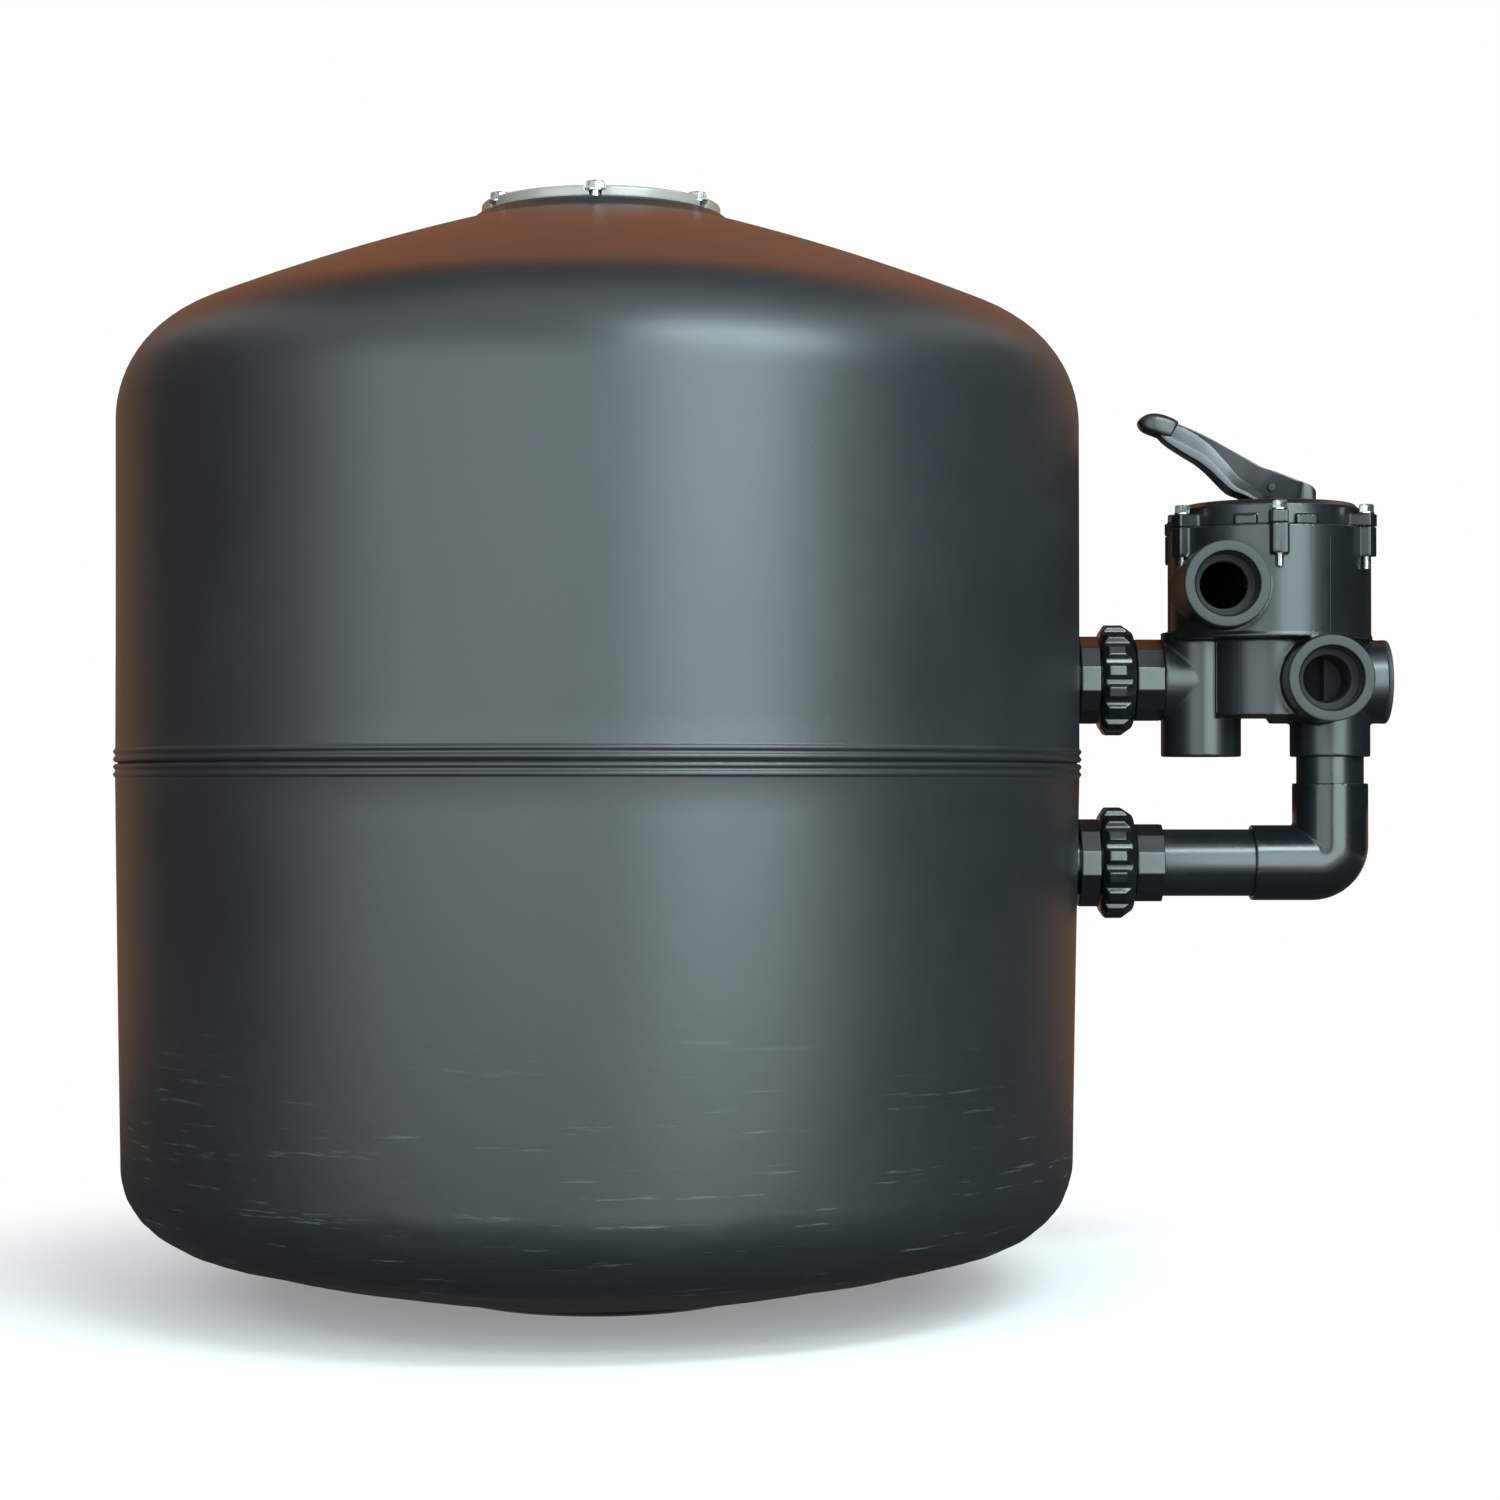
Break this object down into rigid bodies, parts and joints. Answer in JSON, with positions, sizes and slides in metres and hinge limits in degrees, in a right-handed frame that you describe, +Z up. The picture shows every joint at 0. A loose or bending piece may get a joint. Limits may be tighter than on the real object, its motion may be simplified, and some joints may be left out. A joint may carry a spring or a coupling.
{
  "type": "pool sand filter",
  "caption": "Round moulded pool sand filter tank with a clear bolted lid, a side-mounted multiport valve with a cam lever handle, and union pipework.",
  "frame": {"origin": "centre of the tank's round foot, on the floor", "axes": "+Z up along the tank axis, +X from the tank towards the valve, -Y towards the front ports"},
  "size_m": [1.1937, 0.9195, 1.039],
  "materials": {
    "tank_plastic": "rotomoulded, satin with a fine mottle",
    "clear_lid": "smoky translucent",
    "black_rubber": "matte",
    "stainless": "satin",
    "black_fitting": "semi-gloss moulding",
    "black_pipe": "semi-gloss extrusion",
    "valve_plastic": "semi-gloss moulding",
    "handle_plastic": "semi-gloss moulding",
    "inner_plastic": "moulded",
    "white_pipe": "extruded",
    "brass_insert": "machined",
    "gravel": "loose pebbles, shown as one solid bed",
    "sand": "loose grains, shown as one solid bed"
  },
  "bodies": {
    "tank": {"collector_hub": "inner_plastic", "cover_bolts": "stainless", "cover_inserts": "brass_insert", "cover_seal": "black_rubber", "cover_washers": "stainless", "diffuser": "inner_plastic", "drain_fitting": "black_fitting", "drain_gasket": "black_rubber", "drain_plug": "black_fitting", "drop_pipe": "white_pipe", "feed_elbow": "white_pipe", "feed_level_pipe": "white_pipe", "feed_pipe": "white_pipe", "gravel_bed": "gravel", "lateral_caps": "inner_plastic", "laterals": "inner_plastic", "lid_bolts": "stainless", "lid_gasket": "black_rubber", "lid_washers": "stainless", "lower_pipe": "black_pipe", "lower_tank_connector": "black_fitting", "lower_tank_gasket": "black_rubber", "lower_tank_nut": "black_fitting", "lower_tank_shell": "tank_plastic", "lower_union_nut": "black_fitting", "lower_union_seal": "black_rubber", "lower_union_tail": "black_fitting", "manway_lid": "clear_lid", "pipe_elbow": "black_pipe", "return_elbow": "white_pipe", "return_level_pipe": "white_pipe", "riser_pipe": "black_pipe", "sand_bed": "sand", "socket_plug": "black_pipe", "spider_gasket": "black_rubber", "upper_tank_connector": "black_fitting", "upper_tank_gasket": "black_rubber", "upper_tank_nut": "black_fitting", "upper_tank_shell": "tank_plastic", "upper_union_nut": "black_fitting", "upper_union_seal": "black_rubber", "upper_union_tail": "black_fitting", "valve_body": "valve_plastic", "valve_cover": "valve_plastic"},
    "carrier": {"thrust_washer": "inner_plastic", "valve_spring": "stainless"},
    "stem": {"rotor": "inner_plastic", "stem": "inner_plastic", "stem_rings": "black_rubber", "handle_pin": "stainless"},
    "handle": {"handle": "handle_plastic", "handle_grip": "handle_plastic"}
  },
  "joints": [
    {"name": "valve_turn", "type": "hinge", "parent": "tank", "child": "carrier", "pos_m": [0.6323, 0, 0.742], "axis": [0, 0, 1], "continuous": true},
    {"name": "rotor_lift", "type": "slide", "parent": "carrier", "child": "stem", "axis": [0, 0, 1], "range_m": [0, 0.00607], "deforming": ["valve_spring"]},
    {"name": "handle_press", "type": "hinge", "parent": "stem", "child": "handle", "pos_m": [0.6323, 0, 0.75725], "axis": [0, -1, 0], "range_deg": [0, 25], "stiffness_Nm_per_rad": 8, "springref_deg": -8.59}
  ],
  "couplings": [
    {"joint": "rotor_lift", "follows": "handle_press", "m_per_rad": 0.013889}
  ]
}
